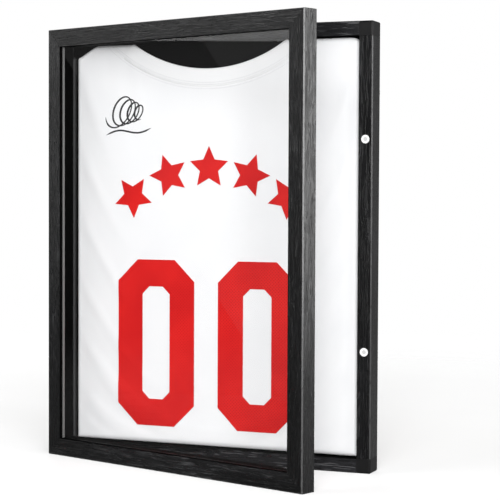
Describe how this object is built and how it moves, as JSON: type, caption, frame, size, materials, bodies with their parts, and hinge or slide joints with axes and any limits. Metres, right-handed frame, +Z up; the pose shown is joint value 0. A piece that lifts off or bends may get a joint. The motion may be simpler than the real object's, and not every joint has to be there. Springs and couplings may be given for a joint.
{
  "type": "jersey display frame",
  "caption": "Shallow black wooden display box for a sports jersey, with a side-hinged glazed door, magnetic catches, a fitted jersey and wall-hanging rings.",
  "frame": {"origin": "centre of the box's underside, midway between its front and back faces", "axes": "+Z up, +Y towards the wall behind the frame, +X to the right of a person facing the door"},
  "size_m": [0.6301, 0.2747, 0.8],
  "materials": {
    "black_wood": "wood-grain embossed black, satin",
    "corner_plastic": "moulded black, fine texture",
    "hardboard": "smooth hardboard, black-brown",
    "black_felt": "black felt face on foam board",
    "black_steel": "black-lacquered pressed steel",
    "zinc_steel": "bright zinc plate",
    "white_plastic": "moulded white",
    "magnet": "nickel-plated magnet face",
    "acrylic": "clear polished acrylic",
    "bead_grey": "light grey extruded",
    "jersey_cloth": "white knitted polyester with red and black print",
    "card": "white-faced board",
    "hook_loop": "black hook-and-loop tape",
    "bumper_rubber": "black moulded rubber"
  },
  "bodies": {
    "box": {"back_panel": "hardboard", "back_panel_screws": "zinc_steel", "box_bottom_rail": "black_wood", "box_left_stile": "black_wood", "box_right_stile": "black_wood", "box_top_rail": "black_wood", "catch_housing_lower": "white_plastic", "catch_housing_upper": "white_plastic", "catch_magnet_lower": "magnet", "catch_magnet_upper": "magnet", "corner_block_bottom_left": "corner_plastic", "corner_block_bottom_right": "corner_plastic", "corner_block_top_left": "corner_plastic", "corner_block_top_right": "corner_plastic", "hanger_screws": "zinc_steel", "hanger_straps": "zinc_steel", "hinge_box_leaf_lower": "black_steel", "hinge_box_leaf_middle": "black_steel", "hinge_box_leaf_upper": "black_steel", "hinge_box_screws": "black_steel", "hinge_pin_lower": "black_steel", "hinge_pin_middle": "black_steel", "hinge_pin_upper": "black_steel", "insert_board": "card", "jersey": "jersey_cloth", "jersey_fixing_pads": "hook_loop", "lining_board": "black_felt", "wall_bumpers": "bumper_rubber"},
    "door": {"door_bottom_rail": "black_wood", "door_corner_nails": "zinc_steel", "door_left_stile": "black_wood", "door_right_stile": "black_wood", "door_top_rail": "black_wood", "glazing_bead_bottom": "bead_grey", "glazing_bead_left": "bead_grey", "glazing_bead_right": "bead_grey", "glazing_bead_top": "bead_grey", "hinge_door_leaf_lower": "black_steel", "hinge_door_leaf_middle": "black_steel", "hinge_door_leaf_upper": "black_steel", "hinge_door_screws": "black_steel", "pane": "acrylic", "strike_lower": "zinc_steel", "strike_screws": "zinc_steel", "strike_upper": "zinc_steel"},
    "left_ring": {"hanger_ring_left": "zinc_steel"},
    "right_ring": {"hanger_ring_right": "zinc_steel"}
  },
  "joints": [
    {"name": "door_hinge", "type": "hinge", "parent": "box", "child": "door", "pos_m": [-0.3126, -0.02075, 0.4], "axis": [0, 0, -1], "range_deg": [-18.5, 161.5]},
    {"name": "left_ring_swing", "type": "hinge", "parent": "box", "child": "left_ring", "pos_m": [-0.302, 0.0228, 0.68], "axis": [1, 0, 0], "range_deg": [0, 175]},
    {"name": "right_ring_swing", "type": "hinge", "parent": "box", "child": "right_ring", "pos_m": [0.302, 0.0228, 0.68], "axis": [1, 0, 0], "range_deg": [0, 175]}
  ]
}
